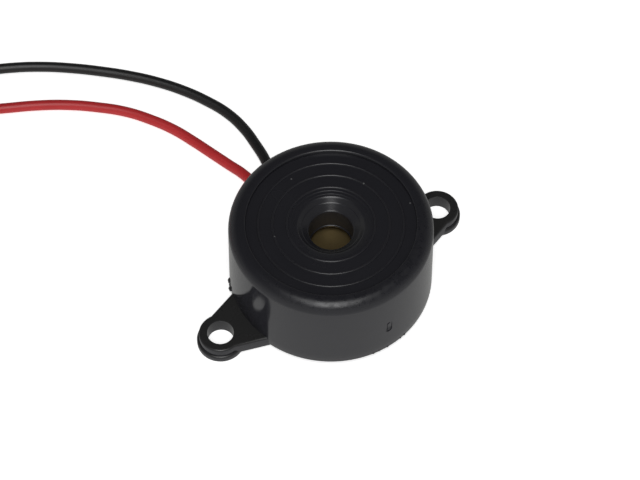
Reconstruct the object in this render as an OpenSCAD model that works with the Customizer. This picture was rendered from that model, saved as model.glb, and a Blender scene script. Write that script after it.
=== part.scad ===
// Piezo buzzer with two screw ears and two flying leads.
// Millimetres, +Z up, origin on the mounting surface under the middle of the body.
// The ears lie along X, the leads leave towards +Y.

/* [Body] */
// Diameter of the side wall at its lower edge
body_d = 23.2; // [19:0.1:28]
// Angle by which the side wall leans in
wall_draft = 0.86; // [0:0.02:3]
// Height of the rim above the mounting surface
body_h = 11.9; // [9.9:0.1:13.9]
// Thickness of the side wall at its lower edge
wall_t = 1.45; // [1.1:0.05:1.9]
// Thickness of the top plate
top_t = 1.6; // [1:0.1:2]
// Height of the base ring that is set in under the side wall
base_step_h = 0.85; // [0.5:0.05:1.2]
// How far the base ring is set in from the side wall
base_step_in = 0.6; // [0.3:0.05:0.8]

/* [Rim and rings] */
// Width of the rounded edge of the rim
rim_round_w = 1.4; // [0.6:0.1:1.6]
// Height of the rounded edge of the rim
rim_round_h = 1.35; // [0.6:0.05:1.5]
// Width of the rim around the recessed face
rim_w = 1.95; // [1.7:0.05:2.4]
// Height of the rim above the recessed face
rim_lift = 0.55; // [0.3:0.05:0.8]
// Width of the half-round rings on the face
ring_w = 0.3; // [0.2:0.02:0.5]
// Number of rings
ring_count = 3; // [2:1:4]
// Distance from the rim to the outermost ring
ring_edge = 1.36; // [0.8:0.02:1.8]
// Distance from the edge of the flared mouth to the innermost ring
ring_margin = 0.52; // [0.3:0.02:0.8]

/* [Sound hole] */
// Diameter of the throat
throat_d = 5; // [4:0.1:6]
// How far the flared mouth is wider than the throat on each side
funnel_w = 1.9; // [1.4:0.05:2.3]
// Depth of the flare below the face
funnel_depth = 0.88; // [0.5:0.02:1.2]
// Wall of the neck
neck_t = 0.9; // [0.6:0.05:1.2]
// Share of the chamber's height between the neck's end and the brass plate
neck_gap_share = 0.12; // [0.08:0.01:0.4]

/* [Ears] */
// Distance from the side wall's lower edge to the middle of a screw hole
ear_reach = 3.4; // [2.8:0.1:5]
// Diameter of the screw holes
hole_d = 3; // [2.2:0.1:3.5]
// Thickness of the ears
ear_t = 1.5; // [0.8:0.05:2]
// Height of the ears' undersides above the mounting surface
ear_lift = 0.45; // [0.2:0.05:0.6]
// Width of the plastic between a screw hole and the straight sides of its ear
ear_rim_w = 0.7; // [0.5:0.05:0.85]
// Width of the round boss around a screw hole
boss_w = 0.95; // [0.85:0.05:1.2]
// Angle of each side of an ear to its middle line
ear_taper = 18.5; // [10:0.5:22]
// How far the foot pad under an ear stands out from the boss
foot_out = 0.25; // [0.1:0.05:0.6]
// Height of the foot pads, which rise a little beside the ears
foot_h = 0.85; // [0.6:0.05:1.2]

/* [Sound element] */
// Gap between the brass plate and the side wall
plate_gap = 1.15; // [0.95:0.05:1.6]
// Wall of the ring that carries the brass plate
support_t = 0.8; // [0.5:0.05:1.2]
// Ledge of the brass plate outside that ring, where the soft bead lies
plate_ledge = 0.5; // [0.3:0.05:0.7]
// Share of the room above the circuit board that the chamber over the brass plate takes
chamber_share = 0.441; // [0.4:0.001:0.6]
// Thickness of the brass plate
plate_t = 0.2; // [0.1:0.02:0.3]
// Share of the brass plate's diameter that the ceramic disc takes
ceramic_share = 0.722; // [0.65:0.002:0.76]
// Thickness of the ceramic disc
ceramic_t = 0.2; // [0.1:0.02:0.3]
// Thickness of the silver electrodes
electrode_t = 0.05; // [0.02:0.01:0.08]
// Bare edge of the ceramic around the electrodes
electrode_margin = 0.5; // [0.3:0.1:1]
// Width of the feedback electrode
feedback_w = 3; // [2:0.1:4]
// Length of the feedback electrode from its outer edge
feedback_l = 3.6; // [2.5:0.1:4.5]
// Gap between the two electrodes
electrode_gap = 0.6; // [0.3:0.05:1]

/* [Circuit board] */
// Thickness of the board
board_t = 1; // [0.6:0.1:1.6]
// Gap around the board
board_clear = 0.15; // [0.05:0.05:0.3]
// Number of ribs that the board is pressed against
rib_count = 4; // [3:1:6]
// Width of a rib
rib_w = 0.9; // [0.6:0.1:1.4]
// How far a rib stands in from the wall
rib_in = 0.8; // [0.5:0.05:0.9]
// Depth of the resin's surface above the mounting surface
seal_recess = 0.35; // [0.1:0.05:0.45]
// Resin above and below a lead
seal_cover = 0.15; // [0.1:0.05:0.4]

/* [Leads] */
// Diameter of a lead over its insulation
lead_d = 1.25; // [1:0.05:1.5]
// Distance between the two leads where they leave the body
lead_spread = 2.4; // [1.8:0.1:4]
// Diameter of the bare core
core_d = 0.5; // [0.3:0.05:0.6]

/* [Hidden] */
$fn = 96;

black_plastic = "#1d1d20";
red_plastic = "#a83238";
brass = "#b58a3c";
silver = "#c9c9c4";
solder_grey = "#a9acae";
resin = "#26231f";

// How far cuts run past the faces that they open
overrun = 0.5;

// Levels of the housing and of what it holds, from the mounting surface up
lead_r = lead_d / 2;
seal_t = lead_d + 2 * seal_cover;
lead_exit_z = seal_recess + seal_t / 2;
board_z = seal_recess + seal_t;
board_top_z = board_z + board_t;
face_z = body_h - rim_lift;
ceiling_z = face_z - top_t;
chamber_h = (ceiling_z - board_top_z) * chamber_share;
seat_z = ceiling_z - chamber_h;
neck_end_z = seat_z + chamber_h * neck_gap_share;
wall_top_z = body_h - rim_round_h;

// Radii of the housing
base_r = body_d / 2;
top_r = base_r - (wall_top_z - base_step_h) * tan(wall_draft);
pocket_r = base_r - wall_t;
face_r = top_r - rim_w;
throat_r = throat_d / 2;
funnel_r = throat_r + funnel_w;
flare_r = (funnel_w * funnel_w + funnel_depth * funnel_depth) / (2 * funnel_depth);
ring_pitch = (face_r - ring_edge - funnel_r - ring_margin) / (ring_count - 1);
plate_r = pocket_r - plate_gap;
support_r = plate_r - plate_ledge;
rib_inner_r = pocket_r - rib_in;
first_rib_turn = 45;

// An ear's root lies inside the wall, this share of the wall's thickness from its inner face
ear_root_share = 0.2;
ear_root_x = pocket_r + wall_t * ear_root_share;
ear_top_z = ear_lift + ear_t;
hole_pitch = body_d + 2 * ear_reach;
boss_r = hole_d / 2 + boss_w;
ear_side_r = hole_d / 2 + ear_rim_w;
ear_tangent_x = hole_pitch / 2 + ear_side_r * sin(ear_taper);
ear_tangent_y = ear_side_r * cos(ear_taper);
ear_root_y = ear_tangent_y + (ear_tangent_x - ear_root_x) * tan(ear_taper);

// Mark of the moulding gate on the side wall, opposite the leads
gate_w = 0.8;
gate_nub_w = 0.36;
gate_l = 1.1;
gate_depth = 0.08;
gate_height_share = 0.443;
gate_z = base_step_h + (wall_top_z - base_step_h) * gate_height_share;

// Levels of the sound element, from the brass plate down
plate_z = seat_z - plate_t;
ceramic_z = plate_z - ceramic_t;
electrode_z = ceramic_z - electrode_t;
ceramic_r = plate_r * ceramic_share;
electrode_r = ceramic_r - electrode_margin;
feedback_x = electrode_r - feedback_l;

// Thin wires between the board and the element, each as [x, y, level of the face it meets]
wire_d = 0.3;
joint_d = 1.2;
joint_top_d = 0.5;
joint_h = 0.25;
main_wire_share = 0.4;
piezo_wire_ends = [
    [-electrode_r * main_wire_share, 0, electrode_z],
    [feedback_x + feedback_l / 2, 0, electrode_z],
    [0, -(ceramic_r + plate_r) / 2, plate_z]
];

// Chips on the board's inner face, placed by shares of the board's radius
board_r = pocket_r - board_clear;
transistor_size = [2.9, 1.3, 0.95];
transistor_lift = 0.1;
transistor_place_shares = [0.3, 0.4];
leg_size = [0.4, 0.55, 0.15];
leg_pitch = 0.95;
leg_riser_h = 0.5;
resistor_size = [2, 1.25, 0.5];
resistor_cap_l = 0.4;
resistor_cap_t = 0.04;
resistor_place_shares = [[-0.32, 0.42], [-0.46, -0.4], [0.36, -0.44]];

// Leads inside the body
notch_clear = 0.08;
lead_end_y = base_r - lead_spread * lead_spread / (8 * base_r);
core_start_share = 0.72;
lead_stub_y = pocket_r * core_start_share;
core_l = 1.6;
lead_joint_share = 0.8;
lead_joint_d = lead_spread * lead_joint_share;
lead_joint_low_share = 0.5;
lead_joint_low_d = lead_joint_d * lead_joint_low_share;
lead_joint_below = 0.15;

// Routes of the leads on the mounting surface. Each point is how far it lies from where the lead leaves
// the body, along X and along Y, and how high the lead's underside is
red_route = [
    [0.4, 2.4, 0.33], [0.7, 4.2, 0.14], [0.5, 5.9, 0.06], [-0.1, 7.8, 0.03], [-0.9, 10.3, 0.03],
    [-1.8, 13.1, 0.03], [-2.8, 15.8, 0.03], [-4.3, 18.6, 0.03], [-6.2, 21.3, 0.03], [-8.7, 23.8, 0.03],
    [-11.5, 26.1, 0.03], [-14.6, 28.1, 0.03], [-17.8, 29.8, 0.03], [-21, 31.5, 0.03], [-24, 33.5, 0.04],
    [-27, 35.5, 0.08], [-30.1, 36.9, 0.15], [-33.6, 37.3, 0.22]
];
black_route = [
    [0.4, 2.4, 0.33], [0.9, 4.2, 0.14], [1.4, 6, 0.06], [1.7, 8.6, 0.03], [1.8, 11.2, 0.03],
    [1.4, 14.2, 0.03], [0.3, 17.2, 0.03], [-1.2, 20.1, 0.03], [-3.1, 22.9, 0.03], [-5.3, 25.5, 0.03],
    [-7.8, 28, 0.03], [-10.6, 30.5, 0.03], [-13.6, 32.8, 0.03], [-16.7, 34.7, 0.03], [-19.8, 36.2, 0.03],
    [-23, 37.5, 0.03], [-26.2, 38.5, 0.04], [-29.6, 39.2, 0.08], [-33.2, 39.3, 0.15], [-36.9, 38.6, 0.22]
];

// Coil of the spare length: its middle from where the leads leave the body, where they enter it,
// and how far round its solid goes
coil_from_exit = [-34.8, 28.9];
coil_entry_turn = 115;
coil_turn = 265;
coil_inner_r = 4.7;
red_entry_r = 7.9;
black_entry_r = red_entry_r + lead_d;
coil_outer_r = black_entry_r + lead_r;
coil_h = lead_d;
tie_at_turn = 160;
tie_w = 2;
tie_t = 0.2;
tie_lift = 0.03;
tie_inner_x = sqrt(coil_inner_r * coil_inner_r - tie_w * tie_w / 4);
coil_at = [coil_from_exit[0], lead_end_y + coil_from_exit[1], tie_lift + tie_t + coil_h / 2];

// Radius of the side wall's outer face at a level
function wall_r(z) = base_r + (top_r - base_r) * (z - base_step_h) / (wall_top_z - base_step_h);

// Radius of a ring's middle, counted from the rim
function ring_r(i) = face_r - ring_edge - ring_pitch * i;

function unit(v) = v / norm(v);

// Point of the coil's entry face at a radius, and the direction of the leads there
function coil_entry(r) = coil_at + r * [cos(coil_entry_turn), sin(coil_entry_turn), 0];
coil_heading = [-sin(coil_entry_turn), cos(coil_entry_turn), 0];

// Points of a lead's middle line, from the body to the coil
function lead_path(route, exit_x, entry_r) = concat(
    [[exit_x, lead_end_y, lead_exit_z]],
    [for (p = route) [exit_x + p[0], lead_end_y + p[1], lead_r + p[2]]],
    [coil_entry(entry_r)]
);

// Direction of a route at its i-th point: straight out of the body, and square to the coil's face
function heading(p, i) =
    i == 0 ? [0, 1, 0] : i == len(p) - 1 ? coil_heading : unit(p[i + 1] - p[i - 1]);

// Ring of points around the i-th point of a route
function tube_ring(p, i, r, sides) =
    let (t = heading(p, i), s = unit(cross([0, 0, 1], t)), u = cross(t, s))
    [for (k = [0 : sides - 1])
        let (a = (k + 1 / 2) * 360 / sides) p[i] + r * (cos(a) * s + sin(a) * u)];

// Round tube along a route
module tube(p, r, sides = 8) {
    n = len(p);
    points = [for (i = [0 : n - 1]) each tube_ring(p, i, r, sides)];
    walls = [for (i = [0 : n - 2], k = [0 : sides - 1])
        let (a = i * sides + k, b = i * sides + (k + 1) % sides) [a, a + sides, b + sides, b]];
    first = [for (k = [0 : sides - 1]) k];
    last = [for (k = [sides - 1 : -1 : 0]) (n - 1) * sides + k];
    polyhedron(points, concat(walls, [first, last]));
}

// Half section of the housing's turned form
module housing_section() {
    difference() {
        polygon([
            [0, 0], [base_r - base_step_in, 0], [base_r - base_step_in, base_step_h], [base_r, base_step_h],
            [top_r, wall_top_z], [top_r, body_h], [0, body_h]
        ]);
        rim_edge_cut();
        translate([0, face_z])
            square([face_r, rim_lift + overrun]);
        flare_cut();
        translate([0, -overrun])
            square([throat_r, body_h + 2 * overrun]);
        pocket_cut();
    }
    for (i = [0 : ring_count - 1])
        translate([ring_r(i), face_z])
            circle(d = ring_w);
}

// What the rounded rim takes off its corner
module rim_edge_cut() {
    translate([top_r - rim_round_w, wall_top_z])
        difference() {
            square([rim_round_w + overrun, rim_round_h + overrun]);
            scale([rim_round_w, rim_round_h])
                circle(r = 1);
        }
}

// What the round flare takes off above the throat
module flare_cut() {
    translate([0, face_z - funnel_depth])
        difference() {
            square([funnel_r, funnel_depth + overrun]);
            translate([funnel_r, funnel_depth - flare_r])
                circle(r = flare_r);
        }
}

// Inside of the cup, around the neck and the support ring
module pocket_cut() {
    difference() {
        translate([0, -overrun])
            square([pocket_r, ceiling_z + overrun]);
        translate([0, neck_end_z])
            square([throat_r + neck_t, ceiling_z - neck_end_z]);
        translate([support_r - support_t, seat_z])
            square([support_t, ceiling_z - seat_z]);
    }
}

// Outline of one ear, from inside the wall to the round boss at its tip
module ear_outline() {
    translate([hole_pitch / 2, 0])
        circle(r = boss_r);
    polygon([
        [ear_root_x, -ear_root_y], [ear_tangent_x, -ear_tangent_y],
        [ear_tangent_x, ear_tangent_y], [ear_root_x, ear_root_y]
    ]);
}

// Both ears with their foot pads
module ears() {
    for (turn = [0, 180])
        rotate(turn) {
            translate([0, 0, ear_lift])
                linear_extrude(ear_t)
                    ear_outline();
            translate([hole_pitch / 2, 0, 0])
                cylinder(r = boss_r + foot_out, h = foot_h);
        }
}

// Ribs inside the wall that the board is pressed against
module board_ribs() {
    for (i = [0 : rib_count - 1])
        rotate(first_rib_turn + i * 360 / rib_count)
            translate([rib_inner_r, -rib_w / 2, board_top_z])
                cube([rib_in + wall_t / 2, rib_w, ceiling_z + top_t / 2 - board_top_z]);
}

// Slot in the base for one lead, open downwards
module lead_notch(x) {
    notch_r = lead_r + notch_clear;
    translate([x, lead_stub_y, lead_exit_z])
        rotate([-90, 0, 0])
            cylinder(r = notch_r, h = base_r + overrun - lead_stub_y);
    translate([x - notch_r, lead_stub_y, -overrun])
        cube([2 * notch_r, base_r + overrun - lead_stub_y, lead_exit_z + overrun]);
}

// Long outline with round ends, upright
module gate_outline(w) {
    for (end = [-1, 1])
        translate([0, end * gate_l / 2])
            circle(d = w);
    translate([-w / 2, -gate_l / 2])
        square([w, gate_l]);
}

// Long mark that the moulding gate leaves, with its nub
module gate_mark_cut() {
    translate([0, -wall_r(gate_z) + gate_depth, gate_z])
        rotate([90, 0, 0])
            linear_extrude(gate_depth + overrun)
                difference() {
                    gate_outline(gate_w);
                    gate_outline(gate_nub_w);
                }
}

module housing() {
    color(black_plastic)
        difference() {
            union() {
                rotate_extrude()
                    housing_section();
                ears();
                board_ribs();
            }
            for (side = [-1, 1]) {
                translate([side * hole_pitch / 2, 0, -overrun])
                    cylinder(d = hole_d, h = ear_top_z + 2 * overrun);
                lead_notch(side * lead_spread / 2);
            }
            gate_mark_cut();
        }
}

module diaphragm_plate() {
    color(brass)
        translate([0, 0, plate_z])
            cylinder(r = plate_r, h = plate_t);
}

// Bead in the corner between the support ring and the brass plate
module diaphragm_adhesive() {
    color("#d8d5cc")
        rotate_extrude()
            polygon([
                [support_r, seat_z], [plate_r, seat_z], [support_r, seat_z + plate_ledge]
            ]);
}

module piezo_ceramic() {
    color("#d9d2b8")
        translate([0, 0, ceramic_z])
            cylinder(r = ceramic_r, h = ceramic_t);
}

// Tongue of the feedback electrode, widened by a gap
module feedback_tongue(gap) {
    translate([feedback_x - gap, -feedback_w / 2 - gap])
        square([feedback_l + overrun + gap, feedback_w + 2 * gap]);
}

module main_electrode() {
    color(silver)
        translate([0, 0, electrode_z])
            linear_extrude(electrode_t)
                difference() {
                    circle(r = electrode_r);
                    feedback_tongue(electrode_gap);
                }
}

module feedback_electrode() {
    color(silver)
        translate([0, 0, electrode_z])
            linear_extrude(electrode_t)
                intersection() {
                    circle(r = electrode_r);
                    feedback_tongue(0);
                }
}

module circuit_board() {
    color("#a9824a")
        translate([0, 0, board_z])
            cylinder(r = board_r, h = board_t);
}

// One leg of the transistor, stepped from the board up to the body
module transistor_leg() {
    translate([-leg_size[0] / 2, 0, 0])
        cube(leg_size);
    translate([-leg_size[0] / 2, -leg_size[2], 0])
        cube([leg_size[0], 2 * leg_size[2], leg_riser_h]);
}

module transistor() {
    color("#2a2a2c")
        translate([board_r * transistor_place_shares[0], board_r * transistor_place_shares[1], board_top_z]) {
            translate([-transistor_size[0] / 2, -transistor_size[1] / 2, transistor_lift])
                cube(transistor_size);
            for (x = [-leg_pitch, leg_pitch])
                translate([x, transistor_size[1] / 2, 0])
                    transistor_leg();
            rotate(180)
                translate([0, transistor_size[1] / 2, 0])
                    transistor_leg();
        }
}

// One chip resistor with its two end caps
module resistor() {
    translate([-resistor_size[0] / 2, -resistor_size[1] / 2, resistor_cap_t])
        cube([resistor_size[0], resistor_size[1], resistor_size[2] - 2 * resistor_cap_t]);
    for (x = [-resistor_size[0] / 2, resistor_size[0] / 2 - resistor_cap_l])
        translate([x, -resistor_size[1] / 2, 0])
            cube([resistor_cap_l, resistor_size[1], resistor_size[2]]);
}

module resistors() {
    color("#3b3b42")
        for (p = resistor_place_shares)
            translate([board_r * p[0], board_r * p[1], board_top_z])
                resistor();
}

module piezo_wires() {
    color("#8c2f2c")
        for (e = piezo_wire_ends)
            translate([e[0], e[1], board_top_z + joint_h])
                cylinder(d = wire_d, h = e[2] - board_top_z - 2 * joint_h);
}

module wire_solder() {
    color(solder_grey)
        for (e = piezo_wire_ends) {
            translate([e[0], e[1], board_top_z])
                cylinder(d1 = joint_d, d2 = joint_top_d, h = joint_h);
            translate([e[0], e[1], e[2] - joint_h])
                cylinder(d1 = joint_top_d, d2 = joint_d, h = joint_h);
        }
}

// Bare core of one lead, from the end of its insulation into its joint
module lead_core(x) {
    translate([x, lead_stub_y - core_l, lead_exit_z])
        rotate([-90, 0, 0])
            cylinder(d = core_d, h = core_l);
}

module lead_cores() {
    color("#b9b4a8")
        for (side = [-1, 1])
            lead_core(side * lead_spread / 2);
}

// Solder of one lead, hanging from the board around the core
module lead_joint(x) {
    low_z = lead_exit_z - core_d / 2 - lead_joint_below;
    translate([x, lead_stub_y - core_l / 2, low_z])
        cylinder(d1 = lead_joint_low_d, d2 = lead_joint_d, h = board_z - low_z);
}

module lead_solder() {
    color(solder_grey)
        for (side = [-1, 1])
            difference() {
                lead_joint(side * lead_spread / 2);
                lead_core(side * lead_spread / 2);
                lead_end(side * lead_spread / 2);
            }
}

// Stretch of one lead inside the body
module lead_end(x) {
    translate([x, lead_stub_y, lead_exit_z])
        rotate([-90, 0, 0])
            cylinder(d = lead_d, h = lead_end_y - lead_stub_y);
}

module red_lead_end() {
    color(red_plastic)
        lead_end(-lead_spread / 2);
}

module black_lead_end() {
    color(black_plastic)
        lead_end(lead_spread / 2);
}

module back_seal() {
    color(resin)
        difference() {
            translate([0, 0, seal_recess])
                cylinder(r = pocket_r, h = seal_t);
            for (side = [-1, 1]) {
                lead_joint(side * lead_spread / 2);
                lead_core(side * lead_spread / 2);
                lead_end(side * lead_spread / 2);
            }
        }
}

module red_lead() {
    color(red_plastic)
        tube(lead_path(red_route, -lead_spread / 2, red_entry_r), lead_r);
}

module black_lead() {
    color(black_plastic)
        tube(lead_path(black_route, lead_spread / 2, black_entry_r), lead_r);
}

module lead_coil() {
    color("#5a2428")
        translate(coil_at)
            rotate(coil_entry_turn)
                rotate_extrude(angle = coil_turn)
                    translate([coil_inner_r, -coil_h / 2])
                        square([coil_outer_r - coil_inner_r, coil_h]);
}

// Flat band around the coil's turns
module coil_tie() {
    loop_l = coil_outer_r - tie_inner_x;
    color("#e4e2da")
        translate(coil_at)
            rotate(coil_entry_turn + tie_at_turn)
                translate([tie_inner_x, 0, 0])
                    rotate([90, 0, 0])
                        linear_extrude(tie_w, center = true)
                            difference() {
                                translate([-tie_t, -coil_h / 2 - tie_t])
                                    square([loop_l + 2 * tie_t, coil_h + 2 * tie_t]);
                                translate([0, -coil_h / 2])
                                    square([loop_l, coil_h]);
                            }
}

housing();
diaphragm_plate();
diaphragm_adhesive();
piezo_ceramic();
main_electrode();
feedback_electrode();
circuit_board();
transistor();
resistors();
piezo_wires();
wire_solder();
lead_solder();
lead_cores();
red_lead_end();
black_lead_end();
back_seal();
red_lead();
black_lead();
lead_coil();
coil_tie();
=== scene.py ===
"""Looks of a piezo buzzer: a glossy black moulding with a ringed top, a brass plate under its sound hole,
two screw ears, and a red and a black lead whose spare length lies wound up and tied."""

import math

import bmesh
import bpy
from mathutils import Matrix, Vector, noise


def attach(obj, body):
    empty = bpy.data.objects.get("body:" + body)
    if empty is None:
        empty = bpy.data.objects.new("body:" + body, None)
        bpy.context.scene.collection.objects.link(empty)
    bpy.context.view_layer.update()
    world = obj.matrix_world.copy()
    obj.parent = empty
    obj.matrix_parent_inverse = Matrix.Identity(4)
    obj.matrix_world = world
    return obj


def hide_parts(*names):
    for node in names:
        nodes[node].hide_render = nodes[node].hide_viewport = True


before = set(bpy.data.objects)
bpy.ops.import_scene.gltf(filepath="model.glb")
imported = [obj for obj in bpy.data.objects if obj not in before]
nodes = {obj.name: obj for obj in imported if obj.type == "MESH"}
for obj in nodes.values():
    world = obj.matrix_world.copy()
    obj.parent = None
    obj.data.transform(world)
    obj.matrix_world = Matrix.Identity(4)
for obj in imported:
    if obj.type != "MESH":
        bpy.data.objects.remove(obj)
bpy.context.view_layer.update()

MM = 0.001

# Housing, in millimetres above the mounting surface and from the body's axis
BASE_R = 11.6
TOP_R = 11.454
BODY_H = 11.9
POCKET_R = 10.15
BASE_STEP_H = 0.85
BASE_STEP_IN = 0.6
RIM_ROUND_W = 1.4
RIM_ROUND_H = 1.35
RIM_EDGE_R = 0.22
FACE_R = 9.504
RING_W = 0.3
RING_RADII = (8.144, 6.532, 4.92)
RIM_LIFT = 0.55
FACE_Z = BODY_H - RIM_LIFT
CEILING_Z = 9.75
THROAT_R = 2.5
NECK_END_Z = 7.092
NECK_T = 0.9
SUPPORT_R = 8.5
SUPPORT_T = 0.8
SEAT_Z = 6.729
BOARD_TOP_Z = 2.9
TURN_STEPS = 192
EDGE_R = 0.08
NECK_FLASH_R = 0.14

# Rounded edges of the flared mouth, from the throat out: radius where the edge begins, depth of its top under
# the face, its rounding, and where the rounding starts and ends as an angle
FLARE = (
    (THROAT_R, 1.24, 0.14, 180, 112), (3.15, 0.62, 0.2, 134, 106), (3.55, 0.165, 0.42, 134, 93),
    (4.08, 0.09, 0.06, 180, 90), (4.44, 0, 0.08, 180, 90),
)

# Ears
HOLE_X = 15.0
HOLE_R = 1.5
EAR_SIDE_R = 2.2
BOSS_R = 2.45
EAR_TAPER = math.radians(18.5)
EAR_ROOT_X = 10.44
EAR_LIFT = 0.45
EAR_TOP_Z = 1.95
EAR_EDGE_R = 0.22
HOLE_EDGE_R = 0.02
FOOT_R = 2.7
FOOT_H = 0.85
FOOT_EDGE_R = 0.22

# Ribs inside the wall that the circuit board is pressed against
RIB_COUNT = 4
RIB_W = 0.9
RIB_IN = 0.8
RIB_INTO_WALL = 0.7
RIB_INTO_CEILING = 0.5

# Mark of the moulding gate, on the wall opposite the leads
GATE_Z = 5.15
GATE_R = 0.4
GATE_NUB_R = 0.18
GATE_L = 1.1
GATE_DEPTH = 0.08
GATE_CUT_OUT = 1
GATE_SCAR_R = 0.34

# Torn bits of flash on the wall's lower edge: where each lies around the axis in degrees, its height and its
# size, and how ragged they are
FLASH = (
    (150.6, 1.0, 0.3), (153.2, 0.95, 0.18), (155.8, 0.92, 0.28),
    (-99.7, 0.95, 0.09), (-96.1, 0.98, 0.08), (-90.7, 0.96, 0.1), (-81.4, 0.95, 0.08), (-78.4, 0.97, 0.1),
)
FLASH_FORM = Vector((0.7, 1, 1.1))
FLASH_TEAR = 0.5
FLASH_TEAR_SCALE = 1.7

# Cast resin in the back: its face, how it climbs the wall, and how it swells over the leads and waves
SEAL_Z = 0.35
SEAL_TOP_Z = 1.9
SEAL_RINGS = 40
SEAL_EDGE_W = 0.5
AXIS_R = 0.001
CLIMB_H = 0.14
CLIMB_W = 0.35
SWELL_H = 0.12
SWELL_W = 0.7
SWELL_FADE_L = 3
WAVE_H = 0.05
WAVE_SCALE = 0.35

# Leads
LEAD_D = 1.25
LEAD_R = LEAD_D / 2
LEAD_X = 1.2
LEAD_Z = 1.125
LEAD_STUB_Y = 7.308
EXIT_Y = 11.538
SLOT_R = LEAD_R + 0.08
SLOT_PAST_BASE = 0.5
SLOT_PAST_WALL = 1
LEAD_LENGTH = 120.0
TIP_LENGTH = 5.0
TIP_POINTS = 18
STRANDS = 7
STRAND_R = 0.085
STRAND_APART = 2.02 * STRAND_R
STRAND_LAY = 5.0
STRAND_SHORTER = 0.15

# Each point: how far it lies from where the lead leaves the body, along X and Y, and its underside's height
RED_ROUTE = [
    (0.4, 2.4, 0.33), (0.7, 4.2, 0.14), (0.5, 5.9, 0.06), (-0.1, 7.8, 0.03), (-0.9, 10.3, 0.03),
    (-1.8, 13.1, 0.03), (-2.8, 15.8, 0.03), (-4.3, 18.6, 0.03), (-6.2, 21.3, 0.03), (-8.7, 23.8, 0.03),
    (-11.5, 26.1, 0.03), (-14.6, 28.1, 0.03), (-17.8, 29.8, 0.03), (-21, 31.5, 0.03), (-24, 33.5, 0.04),
    (-27, 35.5, 0.08), (-30.1, 36.9, 0.15), (-33.6, 37.3, 0.22),
]
BLACK_ROUTE = [
    (0.4, 2.4, 0.33), (0.9, 4.2, 0.14), (1.4, 6, 0.06), (1.7, 8.6, 0.03), (1.8, 11.2, 0.03),
    (1.4, 14.2, 0.03), (0.3, 17.2, 0.03), (-1.2, 20.1, 0.03), (-3.1, 22.9, 0.03), (-5.3, 25.5, 0.03),
    (-7.8, 28, 0.03), (-10.6, 30.5, 0.03), (-13.6, 32.8, 0.03), (-16.7, 34.7, 0.03), (-19.8, 36.2, 0.03),
    (-23, 37.5, 0.03), (-26.2, 38.5, 0.04), (-29.6, 39.2, 0.08), (-33.2, 39.3, 0.15), (-36.9, 38.6, 0.22),
]

# Coil of the spare length
COIL_AT = Vector((-34.8, EXIT_Y + 28.9, 0.855))
COIL_ENTRY = math.radians(115)
COIL_STEP = math.radians(12)
COIL_MOVE_AFTER = 0.98
COIL_MOVE_OVER = 0.3
RED_ENTRY_R = 7.9
BLACK_ENTRY_R = RED_ENTRY_R + LEAD_D
TIE_AT = COIL_ENTRY + math.radians(160)
TIE_IN_R = 5.2
TIE_OUT_R = 9.0
TIE_W = 2.0
TIE_T = 0.18
TIE_CORNER_R = 0.35
TIE_EDGE_R = 0.05
TIE_GAP = 0.01

# Camera, fitted to the photograph's frame of 640 by 480 pixels
FRAME_W = 640
LENS_MM = 135
SENSOR_MM = 36
LOOK_AT = Vector((0, 0, 0.85))
LOOK_AZIMUTH = math.radians(-34.59)
LOOK_ELEVATION = math.radians(58.16)
LOOK_DISTANCE = 275.4
LOOK_OFFSET = (10.894, 33.94)
LOOK_SIDE = Vector((math.sin(LOOK_AZIMUTH), -math.cos(LOOK_AZIMUTH), 0))
UP = Vector((0, 0, 1))

# Soft light: suns in a row from above towards the camera's side, by their tilt and width in degrees
SUN_TILTS = (11, 24, 37)
SUN_WIDTH = 27
SUN_ENERGY = 1.75

# Floor's radius, in metres
FLOOR_R = 4

# Edges that turn more than this are drawn sharp
SHARP_DEG = 35


# Shader maths

class Value:
    """A socket of a shader; sums, products and comparisons of it add Math nodes."""

    def __init__(self, finish, socket):
        self.finish = finish
        self.socket = socket

    def _math(self, operation, a, b):
        return self.finish.node("ShaderNodeMath", {"operation": operation}, {0: a, 1: b})

    def __add__(self, other):
        return self._math("ADD", self, other)

    __radd__ = __add__

    def __sub__(self, other):
        return self._math("SUBTRACT", self, other)

    def __mul__(self, other):
        return self._math("MULTIPLY", self, other)

    __rmul__ = __mul__

    def __gt__(self, other):
        return self._math("GREATER_THAN", self, other)

    def __lt__(self, other):
        return self._math("LESS_THAN", self, other)


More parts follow.
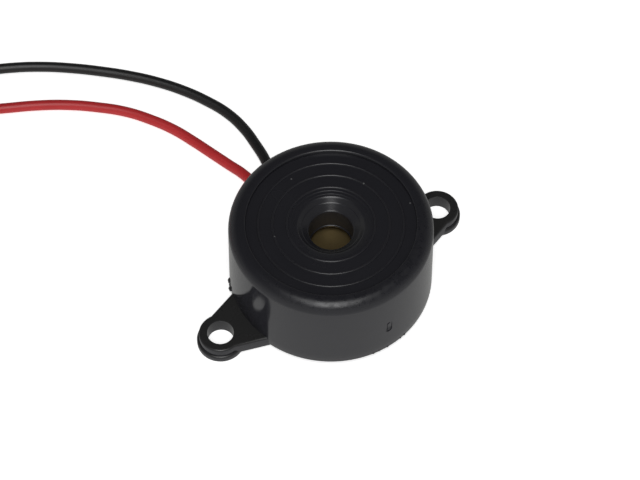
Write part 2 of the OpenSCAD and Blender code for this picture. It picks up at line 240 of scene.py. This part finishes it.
class Finish:
    """A material, or the world, and the nodes that make it."""

    def __init__(self, name, kept_in=bpy.data.materials):
        self.material = kept_in.new(name)
        self.material.use_nodes = True
        self.tree = self.material.node_tree
        self.tree.nodes.clear()
        self.place = self.node("ShaderNodeTexCoord", out="Object")

    def node(self, kind, settings=None, inputs=None, out=0):
        """Adds a node, sets it up, fills or links its inputs and returns one output."""
        made = self.tree.nodes.new(kind)
        for name, value in (settings or {}).items():
            setattr(made, name, value)
        for name, value in (inputs or {}).items():
            if isinstance(value, Value):
                self.tree.links.new(value.socket, made.inputs[name])
            else:
                made.inputs[name].default_value = value
        return Value(self, made.outputs[out]) if len(made.outputs) else None

    def scaled(self, x, y, z):
        """Object coordinates, stretched."""
        return self.node("ShaderNodeMapping", None, {"Vector": self.place, "Scale": (x, y, z)})

    def noise(self, scale, detail=2.0, roughness=0.5, vector=None):
        return self.node("ShaderNodeTexNoise", None, {
            "Vector": vector or self.place, "Scale": scale, "Detail": detail, "Roughness": roughness})

    def cells(self, scale):
        """Points scattered over the plan: the distance to the nearest one, and its own chance colour."""
        distance = self.node("ShaderNodeTexVoronoi", {"voronoi_dimensions": "2D"}, {
            "Vector": self.place, "Scale": scale}, out="Distance")
        return distance, Value(self, distance.socket.node.outputs["Color"])

    def ramp(self, value, low, high):
        """value rescaled from low..high to 0..1 and kept there."""
        return self.node("ShaderNodeMapRange", {"clamp": True}, {
            "Value": value, "From Min": low, "From Max": high})

    def mix(self, share, a, b):
        return self.node("ShaderNodeMix", {"data_type": "RGBA"}, {0: share, 6: a, 7: b}, out=2)

    def bump(self, height, strength, distance):
        return self.node("ShaderNodeBump", None, {
            "Height": height, "Strength": strength, "Distance": distance})

    def part(self, vector, axis):
        return self.node("ShaderNodeSeparateXYZ", None, {"Vector": vector}, out=axis)

    def surface(self, inputs):
        """Ends the material in one Principled shader."""
        shader = self.node("ShaderNodeBsdfPrincipled", None, inputs)
        self.node("ShaderNodeOutputMaterial", None, {"Surface": shader})
        return self.material


# Finishes

def rgb(r, g, b):
    return (r, g, b, 1.0)


def moulded_black():
    """Glossy black moulding: polished sides with faint drag lines, a satin top with a few dust specks, a dull
    throat, painted light that lifts the shaded front of the flare, ear tops painted paler for the light they
    catch, a mottled front rim and a dull patch in the gate mark."""
    f = Finish("moulded_black")
    x, y, z = (f.part(f.place, axis) for axis in "XYZ")
    off_axis = x * x + y * y
    upward = f.ramp(f.part(f.node("ShaderNodeNewGeometry", out="Normal"), "Z"), 0.3, 0.8)
    smudge = f.noise(180, 4)
    drag = f.noise(1, 3, vector=f.scaled(2600, 2600, 90))
    grain = f.noise(9000, 3, 0.6)
    waviness = f.noise(420, 2)
    specks, tint = f.cells(330)
    dust = f.ramp(specks, 0.036, 0.02) * (f.part(tint, "X") > 0.88) * upward
    # Ear tops painted paler than the rest of the moulding: painted light for the extra light they catch
    painted_ear_top_light = upward * (z < (EAR_TOP_Z + 0.1) * MM)
    in_flare = (off_axis < (FLARE[-1][0] * MM) ** 2) * f.ramp(z, FACE_Z * MM, (FACE_Z - 0.5) * MM)
    # Front slope of the flare painted paler: painted light that lifts the shade falling on it
    painted_flare_light = in_flare * f.ramp(y, -0.2 * THROAT_R * MM, -THROAT_R * MM)
    in_neck = (off_axis < ((THROAT_R + 0.05) * MM) ** 2) * (z > (NECK_END_Z + 2 * NECK_FLASH_R) * MM)
    rim = (off_axis > (FACE_R * MM) ** 2) * f.ramp(z, (BODY_H - 0.9) * MM, (BODY_H - 0.5) * MM)
    front_rim = rim * f.ramp(y, -0.3 * TOP_R * MM, -0.7 * TOP_R * MM)
    mottle = front_rim * f.ramp(f.noise(1300, 3), 0.42, 0.62)
    under_gate = z - (GATE_Z - GATE_R) * MM
    scar = (x * x + under_gate * under_gate < (GATE_SCAR_R * MM) ** 2) * (y < 0)
    colour = f.mix(smudge, rgb(0.0158, 0.0158, 0.0192), rgb(0.0182, 0.0182, 0.022))
    for share, paler in ((painted_ear_top_light, rgb(0.0215, 0.0215, 0.0215)), (painted_flare_light, rgb(0.031, 0.031, 0.032)),
                         (dust, rgb(0.12, 0.12, 0.12))):
        colour = f.mix(share, colour, paler)
    sides = 0.09 + 0.03 * drag + 0.05 * smudge
    top = 0.2 + 0.12 * smudge
    dull = 0.4 * dust + 0.5 * in_neck + 0.5 * scar + 0.14 * mottle
    height = grain * 0.3 + waviness + drag * 0.15 + rim * f.noise(1500, 3) * 4
    return f.surface({
        "Base Color": colour, "Roughness": sides + (top - sides) * upward + dull, "IOR": 1.42,
        "Normal": f.bump(height, 0.12, 0.00002)})


def rolled_brass():
    f = Finish("rolled_brass")
    rolling = f.noise(1, 4, vector=f.scaled(400, 9000, 400))
    tarnish = f.noise(260, 5, 0.6)
    colour = f.mix(f.ramp(tarnish, 0.35, 0.75), rgb(0.4, 0.297, 0.137), rgb(0.28, 0.205, 0.092))
    return f.surface({
        "Base Color": colour, "Metallic": 1.0, "Roughness": 0.3 + 0.04 * rolling + 0.08 * tarnish,
        "Normal": f.bump(rolling, 0.02, 0.00001)})


def lead_insulation(name, deep, light, ior=1.44):
    """Soft plastic insulation with a slight skin texture."""
    f = Finish(name)
    cloud = f.noise(240, 4)
    skin = f.noise(3800, 3, 0.6)
    return f.surface({
        "Base Color": f.mix(f.ramp(cloud, 0.3, 0.7), deep, light),
        "Roughness": 0.34 + 0.12 * cloud + 0.06 * skin, "IOR": ior,
        "Normal": f.bump(skin, 0.25, 0.00002)})


def tinned_metal(name, colour, roughness):
    f = Finish(name)
    cloud = f.noise(700, 4)
    return f.surface({
        "Base Color": f.mix(cloud, colour, rgb(*(0.75 * c for c in colour[:3]))), "Metallic": 1.0,
        "Roughness": roughness + 0.15 * cloud, "Normal": f.bump(f.noise(2500, 3), 0.25, 0.00003)})


def cast_resin():
    """Dark resin with a slow wave and a few closed bubbles."""
    f = Finish("cast_resin")
    wave = f.noise(160, 3)
    bubble, tint = f.cells(420)
    pit = f.ramp(bubble, 0.22, 0.1) * (f.part(tint, "Y") > 0.8)
    return f.surface({
        "Base Color": f.mix(wave, rgb(0.012, 0.01, 0.008), rgb(0.022, 0.018, 0.014)),
        "Roughness": 0.2 + 0.2 * wave, "Normal": f.bump(wave - pit * 0.4, 0.5, 0.00012)})


def soft_bead():
    f = Finish("soft_bead")
    cloud = f.noise(500, 3)
    return f.surface({
        "Base Color": f.mix(cloud, rgb(0.7, 0.68, 0.62), rgb(0.58, 0.56, 0.5)),
        "Roughness": 0.5 + 0.2 * cloud, "Normal": f.bump(cloud, 0.3, 0.0001)})


def fired_ceramic():
    f = Finish("fired_ceramic")
    grain = f.noise(5200, 4, 0.65)
    return f.surface({
        "Base Color": f.mix(grain, rgb(0.7, 0.65, 0.5), rgb(0.56, 0.51, 0.37)),
        "Roughness": 0.62 + 0.2 * grain, "Normal": f.bump(grain, 0.3, 0.00002)})


def paper_laminate():
    f = Finish("paper_laminate")
    fibre = f.noise(1, 4, vector=f.scaled(500, 4200, 500))
    return f.surface({
        "Base Color": f.mix(fibre, rgb(0.42, 0.24, 0.08), rgb(0.32, 0.17, 0.05)),
        "Roughness": 0.45 + 0.2 * fibre, "Normal": f.bump(fibre, 0.25, 0.00002)})


def chip_body():
    f = Finish("chip_body")
    grain = f.noise(7000, 3)
    return f.surface({
        "Base Color": f.mix(grain, rgb(0.02, 0.02, 0.022), rgb(0.034, 0.034, 0.036)),
        "Roughness": 0.5 + 0.25 * grain, "Normal": f.bump(grain, 0.3, 0.00002)})


def tie_plastic():
    f = Finish("tie_plastic")
    ribbing = f.noise(2600, 3)
    return f.surface({
        "Base Color": f.mix(ribbing, rgb(0.72, 0.71, 0.66), rgb(0.6, 0.59, 0.54)),
        "Roughness": 0.45 + 0.2 * ribbing, "Normal": f.bump(ribbing, 0.25, 0.00004)})


def studio_floor():
    f = Finish("studio_floor")
    cloud = f.noise(6, 2)
    return f.surface({
        "Base Color": f.mix(cloud, rgb(0.86, 0.86, 0.86), rgb(0.87, 0.87, 0.87)), "Roughness": 0.9,
        "Specular IOR Level": 0.0, "Emission Color": rgb(1, 1, 1), "Emission Strength": 0.6})


# Making pieces

def mesh_piece(name, bm):
    """Turns a bmesh into an object at the origin."""
    mesh = bpy.data.meshes.new(name)
    bm.to_mesh(mesh)
    bm.free()
    piece = bpy.data.objects.new(name, mesh)
    bpy.context.scene.collection.objects.link(piece)
    return piece


def finished(name, bm, material):
    """A smooth piece from a bmesh in millimetres."""
    bmesh.ops.scale(bm, vec=(MM, MM, MM), verts=bm.verts)
    piece = mesh_piece(name, bm)
    piece.data.shade_smooth()
    piece.data.set_sharp_from_angle(angle=math.radians(SHARP_DEG))
    piece.data.materials.append(material)
    return piece


def turn_around_axis(bm, turn):
    bmesh.ops.rotate(bm, cent=(0, 0, 0), matrix=Matrix.Rotation(turn, 3, "Z"), verts=bm.verts)


def arc(centre_r, centre_z, radius_r, radius_z, start_deg, end_deg, steps):
    """Points of an arc, or of a part of an ellipse, in a plane."""
    angles = [math.radians(start_deg + (end_deg - start_deg) * i / steps) for i in range(steps + 1)]
    return [(centre_r + radius_r * math.cos(a), centre_z + radius_z * math.sin(a)) for a in angles]


def levels(r_low, z_low, r_high, z_high, count):
    """Points between two ends of a straight stretch."""
    return [(r_low + (r_high - r_low) * i / count, z_low + (z_high - z_low) * i / count)
            for i in range(1, count)]


def spun(section, steps=TURN_STEPS):
    """A bmesh turned from a closed half section."""
    bm = bmesh.new()
    verts = [bm.verts.new((r, 0, z)) for r, z in section]
    edges = [bm.edges.new(pair) for pair in zip(verts, verts[1:] + verts[:1])]
    bmesh.ops.spin(bm, geom=verts + edges, cent=(0, 0, 0), axis=(0, 0, 1), dvec=(0, 0, 0),
                   angle=2 * math.pi, steps=steps, use_merge=True, use_duplicate=False)
    bmesh.ops.remove_doubles(bm, verts=bm.verts, dist=1e-5)
    bmesh.ops.recalc_face_normals(bm, faces=bm.faces)
    return bm


def joined(target, other):
    """Adds the shells of another bmesh."""
    mesh = bpy.data.meshes.new("shell")
    other.to_mesh(mesh)
    other.free()
    target.from_mesh(mesh)
    bpy.data.meshes.remove(mesh)


def cut(piece, *cutters):
    """Takes cutters out of a piece for good."""
    for cutter in cutters:
        step = piece.modifiers.new("cut", "BOOLEAN")
        step.operation = "DIFFERENCE"
        step.solver = "EXACT"
        step.object = cutter
    graph = bpy.context.evaluated_depsgraph_get()
    mesh = bpy.data.meshes.new_from_object(piece.evaluated_get(graph))
    piece.modifiers.clear()
    piece.data = mesh
    for cutter in cutters:
        bpy.data.objects.remove(cutter)


def cutter_piece(name, bm):
    bmesh.ops.recalc_face_normals(bm, faces=bm.faces)
    bmesh.ops.scale(bm, vec=(MM, MM, MM), verts=bm.verts)
    return mesh_piece(name, bm)


# Housing

def housing_section():
    """Half section of the moulding, from the neck's end up, over the rim, down and through the inside."""
    wall_top = BODY_H - RIM_ROUND_H
    section = arc(THROAT_R, NECK_END_Z + NECK_FLASH_R, NECK_FLASH_R, NECK_FLASH_R, 270, 100, 12)
    for r, depth, edge_r, lower_deg, upper_deg in FLARE:
        edge = arc(r + edge_r, FACE_Z - depth - edge_r, edge_r, edge_r, lower_deg, upper_deg, 8)
        section += levels(*section[-1], *edge[0], 8) + edge
    for r in reversed(RING_RADII):
        section += arc(r, FACE_Z, RING_W / 2, RING_W / 2, 180, 0, 10)
    section += [(FACE_R, FACE_Z)]
    section += arc(FACE_R + RIM_EDGE_R, BODY_H - RIM_EDGE_R, RIM_EDGE_R, RIM_EDGE_R, 180, 90, 8)
    section += arc(TOP_R - RIM_ROUND_W, wall_top, RIM_ROUND_W, RIM_ROUND_H, 90, 0, 24)
    section += levels(TOP_R, wall_top, BASE_R, BASE_STEP_H + EDGE_R, 8)
    section += arc(BASE_R - EDGE_R, BASE_STEP_H + EDGE_R, EDGE_R, EDGE_R, 0, -90, 4)
    ring_r = BASE_R - BASE_STEP_IN
    section += [(ring_r, BASE_STEP_H)]
    section += arc(ring_r - EDGE_R, EDGE_R, EDGE_R, EDGE_R, 0, -90, 4)
    section += arc(POCKET_R + EDGE_R, EDGE_R, EDGE_R, EDGE_R, 270, 180, 4)
    section += [(POCKET_R, SEAL_TOP_Z), (POCKET_R, CEILING_Z)]
    section += [(SUPPORT_R, CEILING_Z), (SUPPORT_R, SEAT_Z), (SUPPORT_R - SUPPORT_T, SEAT_Z)]
    section += [(SUPPORT_R - SUPPORT_T, CEILING_Z), (THROAT_R + NECK_T, CEILING_Z)]
    section += [(THROAT_R + NECK_T, NECK_END_Z)]
    return section


def ear_outline(inset):
    """Corners of the ear at +X, drawn in by inset: its straight sides, and the round boss at its tip."""
    side_r, boss_r = EAR_SIDE_R - inset, BOSS_R - inset
    turn = math.pi / 2 - EAR_TAPER
    side = Vector((math.cos(turn), math.sin(turn)))
    reach = math.sqrt(boss_r ** 2 - side_r ** 2)
    meet = side * side_r - Vector((side.y, -side.x)) * reach
    start_deg = math.degrees(math.atan2(meet.y, meet.x))
    root_y = side_r / math.cos(EAR_TAPER) + (HOLE_X - EAR_ROOT_X) * math.tan(EAR_TAPER)
    tip = arc(HOLE_X, 0, boss_r, boss_r, -start_deg, start_deg, 48)
    return [(EAR_ROOT_X, -root_y), *tip, (EAR_ROOT_X, root_y)]


def hole_outline(inset):
    """Corners of the screw hole, widened by inset."""
    return arc(HOLE_X, 0, HOLE_R + inset, HOLE_R + inset, 0, 360, 48)[:-1]


def closed_ring(bm, corners, z):
    """Edges of a closed line through the corners at the height z."""
    ring = [bm.verts.new((x, y, z)) for x, y in corners]
    return [bm.edges.new(pair) for pair in zip(ring, ring[1:] + ring[:1])]


def ear_plate():
    """Plate of the ear at +X with its hole and softened top edges."""
    bm = bmesh.new()
    walls = []
    for outline, edge_r in ((ear_outline, EAR_EDGE_R), (hole_outline, HOLE_EDGE_R)):
        stack = [(0, EAR_LIFT)]
        stack += [(edge_r - c, EAR_TOP_Z - edge_r + s) for c, s in arc(0, 0, edge_r, edge_r, 0, 90, 5)]
        walls.append([closed_ring(bm, outline(inset), z) for inset, z in stack])
    for rings in walls:
        for low, high in zip(rings, rings[1:]):
            bmesh.ops.bridge_loops(bm, edges=low + high)
    for level in (0, -1):
        edges = [edge for rings in walls for edge in rings[level]]
        filled = bmesh.ops.triangle_fill(bm, edges=edges, use_beauty=True, use_dissolve=False)["geom"]
    bmesh.ops.recalc_face_normals(bm, faces=bm.faces)
    top = [item for item in filled if isinstance(item, bmesh.types.BMFace)]
    bmesh.ops.inset_region(bm, faces=top, thickness=EAR_EDGE_R, use_even_offset=True, use_boundary=True)
    return bm


def foot_pad():
    """Round pad under the ear at +X, with a collar that rises beside it."""
    collar_r = (HOLE_R + BOSS_R) / 2
    section = [(HOLE_R, 0), (HOLE_R, EAR_LIFT), (collar_r, EAR_LIFT), (collar_r, FOOT_H)]
    section += arc(FOOT_R - FOOT_EDGE_R, FOOT_H - FOOT_EDGE_R, FOOT_EDGE_R, FOOT_EDGE_R, 90, 0, 6)
    section += arc(FOOT_R - EDGE_R, EDGE_R, EDGE_R, EDGE_R, 0, -90, 4)
    bm = spun(section, 64)
    bmesh.ops.translate(bm, vec=(HOLE_X, 0, 0), verts=bm.verts)
    return bm


def board_rib(turn):
    bm = bmesh.new()
    bmesh.ops.create_cube(bm, size=1)
    height = CEILING_Z + RIB_INTO_CEILING - BOARD_TOP_Z
    length = RIB_IN + RIB_INTO_WALL
    bmesh.ops.scale(bm, vec=(length, RIB_W, height), verts=bm.verts)
    middle = (POCKET_R - RIB_IN + length / 2, 0, BOARD_TOP_Z + height / 2)
    bmesh.ops.translate(bm, vec=middle, verts=bm.verts)
    turn_around_axis(bm, turn)
    return bm


def lead_slot(x):
    """Cutter for the slot in the base that one lead leaves through."""
    bm = bmesh.new()
    ring = bmesh.ops.create_circle(bm, cap_ends=True, segments=32, radius=SLOT_R,
                                   matrix=Matrix.Rotation(math.pi / 2, 4, "X"))
    for v in ring["verts"]:
        if v.co.z < 0:
            v.co.x = math.copysign(SLOT_R, v.co.x) if abs(v.co.x) > 1e-6 else 0
            v.co.z = -LEAD_Z - SLOT_PAST_BASE
    bmesh.ops.translate(bm, vec=(x, LEAD_STUB_Y, LEAD_Z), verts=bm.verts)
    made = bmesh.ops.extrude_face_region(bm, geom=list(bm.faces))
    moved = [g for g in made["geom"] if isinstance(g, bmesh.types.BMVert)]
    bmesh.ops.translate(bm, vec=(0, BASE_R + SLOT_PAST_WALL - LEAD_STUB_Y, 0), verts=moved)
    bmesh.ops.remove_doubles(bm, verts=bm.verts, dist=1e-4)
    return cutter_piece("lead_slot", bm)


def gate_ring():
    """Cutter for the shallow long ring that the moulding gate left."""
    bm = spun([(GATE_NUB_R, -GATE_DEPTH), (GATE_R, -GATE_DEPTH),
               (GATE_R, GATE_CUT_OUT), (GATE_NUB_R, GATE_CUT_OUT)], 40)
    for v in bm.verts:
        v.co.y += math.copysign(GATE_L / 2, v.co.y + 1e-6)
    bmesh.ops.rotate(bm, cent=(0, 0, 0), matrix=Matrix.Rotation(math.pi / 2, 3, "X"), verts=bm.verts)
    wall = BASE_R + (TOP_R - BASE_R) * (GATE_Z - BASE_STEP_H) / (BODY_H - RIM_ROUND_H - BASE_STEP_H)
    bmesh.ops.translate(bm, vec=(0, -wall, GATE_Z), verts=bm.verts)
    return cutter_piece("gate_ring", bm)


def flash_chip(turn, height, size):
    """Small torn bit of flash on the wall's lower edge."""
    bm = bmesh.new()
    bmesh.ops.create_icosphere(bm, subdivisions=3, radius=1)
    for v in bm.verts:
        v.co *= 1 + FLASH_TEAR * noise.noise(v.co * FLASH_TEAR_SCALE + Vector((turn * 9, 0, 0)))
    bmesh.ops.scale(bm, vec=FLASH_FORM * size, verts=bm.verts)
    bmesh.ops.translate(bm, vec=(BASE_R, 0, height), verts=bm.verts)
    turn_around_axis(bm, turn)
    return bm


def make_housing(material):
    cup = finished("housing_cup", spun(housing_section()), material)
    cut(cup, lead_slot(-LEAD_X), lead_slot(LEAD_X), gate_ring())
    bm = bmesh.new()
    bm.from_mesh(cup.data)
    bpy.data.objects.remove(cup)
    bmesh.ops.scale(bm, vec=(1 / MM, 1 / MM, 1 / MM), verts=bm.verts)
    for turn in (0, math.pi):
        for shell in (ear_plate(), foot_pad()):
            turn_around_axis(shell, turn)
            joined(bm, shell)
    for i in range(RIB_COUNT):
        joined(bm, board_rib(math.radians(45) + i * 2 * math.pi / RIB_COUNT))
    for turn_deg, height, size in FLASH:
        joined(bm, flash_chip(math.radians(turn_deg), height, size))
    piece = finished("buzzer_housing", bm, material)
    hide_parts("housing")
    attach(piece, "root")


# Back

def make_seal(material):
    """Resin in the back, with a meniscus at the wall and a slight swell over each lead."""
    section = [(AXIS_R, SEAL_TOP_Z), (POCKET_R, SEAL_TOP_Z)]
    for i in range(SEAL_RINGS + 1):
        r = POCKET_R * (1 - i / SEAL_RINGS)
        climb = CLIMB_H * math.exp(-(POCKET_R - r) / CLIMB_W)
        section.append((max(r, AXIS_R), SEAL_Z - climb))
    bm = spun(section, 144)
    for v in bm.verts:
        if v.co.z > (SEAL_Z + SEAL_TOP_Z) / 2:
            continue
        over_lead = math.exp(-((abs(v.co.x) - LEAD_X) / SWELL_W) ** 2)
        along = min(1, max(0, (v.co.y - LEAD_STUB_Y + SWELL_FADE_L) / SWELL_FADE_L))
        free = min(1, (POCKET_R - math.hypot(v.co.x, v.co.y)) / SEAL_EDGE_W)
        wave = WAVE_H * noise.noise(v.co * WAVE_SCALE)
        v.co.z -= (SWELL_H * over_lead * along + wave) * max(free, 0)
    piece = finished("back_resin", bm, material)
    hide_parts("back_seal")
    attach(piece, "root")


# Leads and their coil

def spread_points(route, side):
    """Middle line of a lead from its joint in the body to the coil, in millimetres."""
    x = side * LEAD_X
    inside = [Vector((x, y, LEAD_Z)) for y in (LEAD_STUB_Y, (LEAD_STUB_Y + EXIT_Y) / 2, EXIT_Y)]
    return inside + [Vector((x + p[0], EXIT_Y + p[1], LEAD_R + p[2])) for p in route]


def coil_point(entry_r, turned, step_out):
    """Point of the flat coil after some angle; the inner lead moves out once the outer one has ended."""
    turns = turned / (2 * math.pi)
    share = min(1, max(0, (turns - COIL_MOVE_AFTER) / COIL_MOVE_OVER))
    r = entry_r - 2 * LEAD_D * turns + step_out * share * share * (3 - 2 * share)
    return COIL_AT + Vector((r * math.cos(COIL_ENTRY + turned), r * math.sin(COIL_ENTRY + turned), 0))


def lead_line(route, side, entry_r, step_out):
    """The lead's whole middle line, and the line of its bare tip."""
    points = spread_points(route, side)
    outside = 3
    length = sum((b - a).length for a, b in zip(points[outside - 1:], points[outside:]))
    turned = 0.0
    while length < LEAD_LENGTH - TIP_LENGTH:
        points.append(coil_point(entry_r, turned, step_out))
        length += (points[-1] - points[-2]).length
        turned += COIL_STEP
    end = turned - COIL_STEP
    tip = [coil_point(entry_r, end + i * COIL_STEP / 4, step_out) for i in range(TIP_POINTS)]
    return points, tip


def curve_piece(name, lines, radius, material):
    """A round curve through points in millimetres."""
    data = bpy.data.curves.new(name, "CURVE")
    data.dimensions = "3D"
    data.bevel_depth = radius * MM
    data.bevel_resolution = 6
    data.resolution_u = 8
    data.use_fill_caps = True
    for line in lines:
        spline = data.splines.new("BEZIER")
        spline.bezier_points.add(len(line) - 1)
        for point, place in zip(spline.bezier_points, line):
            point.co = place * MM
            point.handle_left_type = point.handle_right_type = "AUTO"
    data.materials.append(material)
    piece = bpy.data.objects.new(name, data)
    bpy.context.scene.collection.objects.link(piece)
    return piece


def bare_tip(name, line, material):
    """Tinned strands at a lead's end, one in the middle and the others twisted around it."""
    strands = []
    around = STRANDS - 1
    for k in range(STRANDS):
        reach = STRAND_APART if k < around else 0
        strand = []
        gone = 0.0
        for here, there in zip(line, line[1:]):
            aside = (there - here).normalized().cross(UP).normalized()
            turn = 2 * math.pi * (k / around + gone / STRAND_LAY)
            strand.append(here + aside * (reach * math.cos(turn)) + UP * (reach * math.sin(turn)))
            gone += (there - here).length
            if gone > TIP_LENGTH - STRAND_SHORTER * ((k * 3) % 4):
                break
        strands.append(strand)
    return curve_piece(name, strands, STRAND_R, material)


def make_tie(material):
    """Band around the coil's turns, with rounded corners."""
    half_h = LEAD_R + TIE_GAP
    half_l = (TIE_OUT_R - TIE_IN_R) / 2
    corner = TIE_CORNER_R
    bm = bmesh.new()
    loop = []
    for sx, sz, start in ((1, 1, 0), (-1, 1, 90), (-1, -1, 180), (1, -1, 270)):
        for x, z in arc(sx * (half_l - corner), sz * (half_h - corner), corner, corner, start, start + 90, 6):
            loop.append(bm.verts.new((x, 0, z)))
    face = bm.faces.new(loop)
    ring = bmesh.ops.extrude_face_region(bm, geom=[face])
    moved = [g for g in ring["geom"] if isinstance(g, bmesh.types.BMVert)]
    bmesh.ops.translate(bm, vec=(0, TIE_W, 0), verts=moved)
    ends = [f for f in bm.faces if abs(f.normal.y) > 0.9]
    bmesh.ops.delete(bm, geom=ends, context="FACES_ONLY")
    bmesh.ops.recalc_face_normals(bm, faces=bm.faces)
    if sum(f.normal.dot(f.calc_center_median() - Vector((0, TIE_W / 2, 0))) for f in bm.faces) < 0:
        bmesh.ops.reverse_faces(bm, faces=bm.faces)
    bmesh.ops.solidify(bm, geom=list(bm.faces), thickness=-TIE_T)
    bmesh.ops.translate(bm, vec=(TIE_IN_R + half_l, -TIE_W / 2, 0), verts=bm.verts)
    bmesh.ops.recalc_face_normals(bm, faces=bm.faces)
    edges = [e for e in bm.edges if e.calc_face_angle(0) > 1]
    bmesh.ops.bevel(bm, geom=edges, offset=TIE_EDGE_R, offset_type="OFFSET", affect="EDGES", segments=2,
                    profile=0.5, material=-1, clamp_overlap=True)
    turn_around_axis(bm, TIE_AT)
    bmesh.ops.translate(bm, vec=COIL_AT, verts=bm.verts)
    piece = finished("lead_tie", bm, material)
    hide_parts("coil_tie")
    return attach(piece, "root")


def make_lead(name, route, side, entry_r, step_out, finish, tin, stood_for):
    line, tip_line = lead_line(route, side, entry_r, step_out)
    tip = bare_tip(name + "_tip", tip_line, tin)
    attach(tip, "root")
    lead = curve_piece(name + "_cord", [line], LEAD_R, finish)
    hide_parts(*stood_for)
    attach(lead, "root")


# Stage

def make_camera():
    data = bpy.data.cameras.new("camera")
    data.lens = LENS_MM
    data.sensor_width = SENSOR_MM
    data.clip_start = 0.01
    data.clip_end = 10
    camera = bpy.data.objects.new("camera", data)
    bpy.context.scene.collection.objects.link(camera)
    back = LOOK_SIDE * math.cos(LOOK_ELEVATION) + UP * math.sin(LOOK_ELEVATION)
    right = (-back).cross(UP).normalized()
    up = right.cross(-back)
    focal = FRAME_W * LENS_MM / SENSOR_MM
    ahead = -back - right * (LOOK_OFFSET[0] / focal) + up * (LOOK_OFFSET[1] / focal)
    camera.location = (LOOK_AT + back * LOOK_DISTANCE) * MM
    camera.rotation_mode = "QUATERNION"
    camera.rotation_quaternion = ahead.to_track_quat("-Z", "Y")
    bpy.context.scene.camera = camera


def make_floor(material):
    bm = bmesh.new()
    bmesh.ops.create_circle(bm, cap_ends=True, segments=96, radius=FLOOR_R)
    floor = mesh_piece("floor", bm)
    floor.data.materials.append(material)
    floor.visible_glossy = False


def make_light():
    """A tall soft box made of suns, in a dim room that is paler on the camera's side and underfoot."""
    for tilt_deg in SUN_TILTS:
        data = bpy.data.lights.new("soft_box", "SUN")
        data.energy = SUN_ENERGY / len(SUN_TILTS)
        data.angle = math.radians(SUN_WIDTH)
        lamp = bpy.data.objects.new("soft_box", data)
        bpy.context.scene.collection.objects.link(lamp)
        tilt = math.radians(tilt_deg)
        towards = LOOK_SIDE * math.sin(tilt) + UP * math.cos(tilt)
        lamp.rotation_mode = "QUATERNION"
        lamp.rotation_quaternion = (-towards).to_track_quat("-Z", "Y")
    room = Finish("dim_room", bpy.data.worlds)
    ray = room.node("ShaderNodeTexCoord", out="Generated")
    aim = room.node("ShaderNodeVectorMath", {"operation": "DOT_PRODUCT"}, {0: ray, 1: LOOK_SIDE}, out="Value")
    height = room.part(ray, "Z")
    above = 0.02 + 0.3 * room.ramp(aim, 0, 1) + 0.3 * room.ramp(height, 0.66, 0.25)
    below = 0.36 + 0.14 * room.ramp(aim, -0.5, 0) + 0.12 * room.ramp(aim, 0, 0.5)
    shade = below + (height > 0) * (above - below)
    sky = room.node("ShaderNodeBackground", None, {"Color": (1, 1, 0.98, 1), "Strength": shade})
    room.node("ShaderNodeOutputWorld", None, {"Surface": sky})
    bpy.context.scene.world = room.material
    bpy.context.scene.view_settings.view_transform = "Standard"


# Assembly

black = moulded_black()
tin = tinned_metal("tinned_strands", rgb(0.62, 0.6, 0.56), 0.3)
solder = tinned_metal("solder", rgb(0.55, 0.56, 0.57), 0.22)
silver = tinned_metal("silver_layer", rgb(0.66, 0.66, 0.63), 0.42)
red = lead_insulation("red_insulation", rgb(0.45, 0.0185, 0.0215), rgb(0.51, 0.0245, 0.0285))
dark = lead_insulation("black_insulation", rgb(0.004, 0.004, 0.0045), rgb(0.006, 0.006, 0.0065), 1.52)
thin = lead_insulation("thin_wire", rgb(0.26, 0.03, 0.026), rgb(0.32, 0.04, 0.034))
chip = chip_body()

node_finishes = {
    "diaphragm_plate": rolled_brass(), "diaphragm_adhesive": soft_bead(), "piezo_ceramic": fired_ceramic(),
    "main_electrode": silver, "feedback_electrode": silver, "circuit_board": paper_laminate(),
    "transistor": chip, "resistors": chip, "piezo_wires": thin, "wire_solder": solder, "lead_solder": solder,
    "lead_cores": tin,
}
for name, material in node_finishes.items():
    nodes[name].data.materials.clear()
    nodes[name].data.materials.append(material)

make_housing(black)
make_seal(cast_resin())
tie = make_tie(tie_plastic())
make_lead("red_lead", RED_ROUTE, -1, RED_ENTRY_R, LEAD_D, red, tin,
          ["red_lead", "red_lead_end", "lead_coil"])
make_lead("black_lead", BLACK_ROUTE, 1, BLACK_ENTRY_R, 0, dark, tin,
          ["black_lead", "black_lead_end"])

make_camera()
make_floor(studio_floor())
make_light()
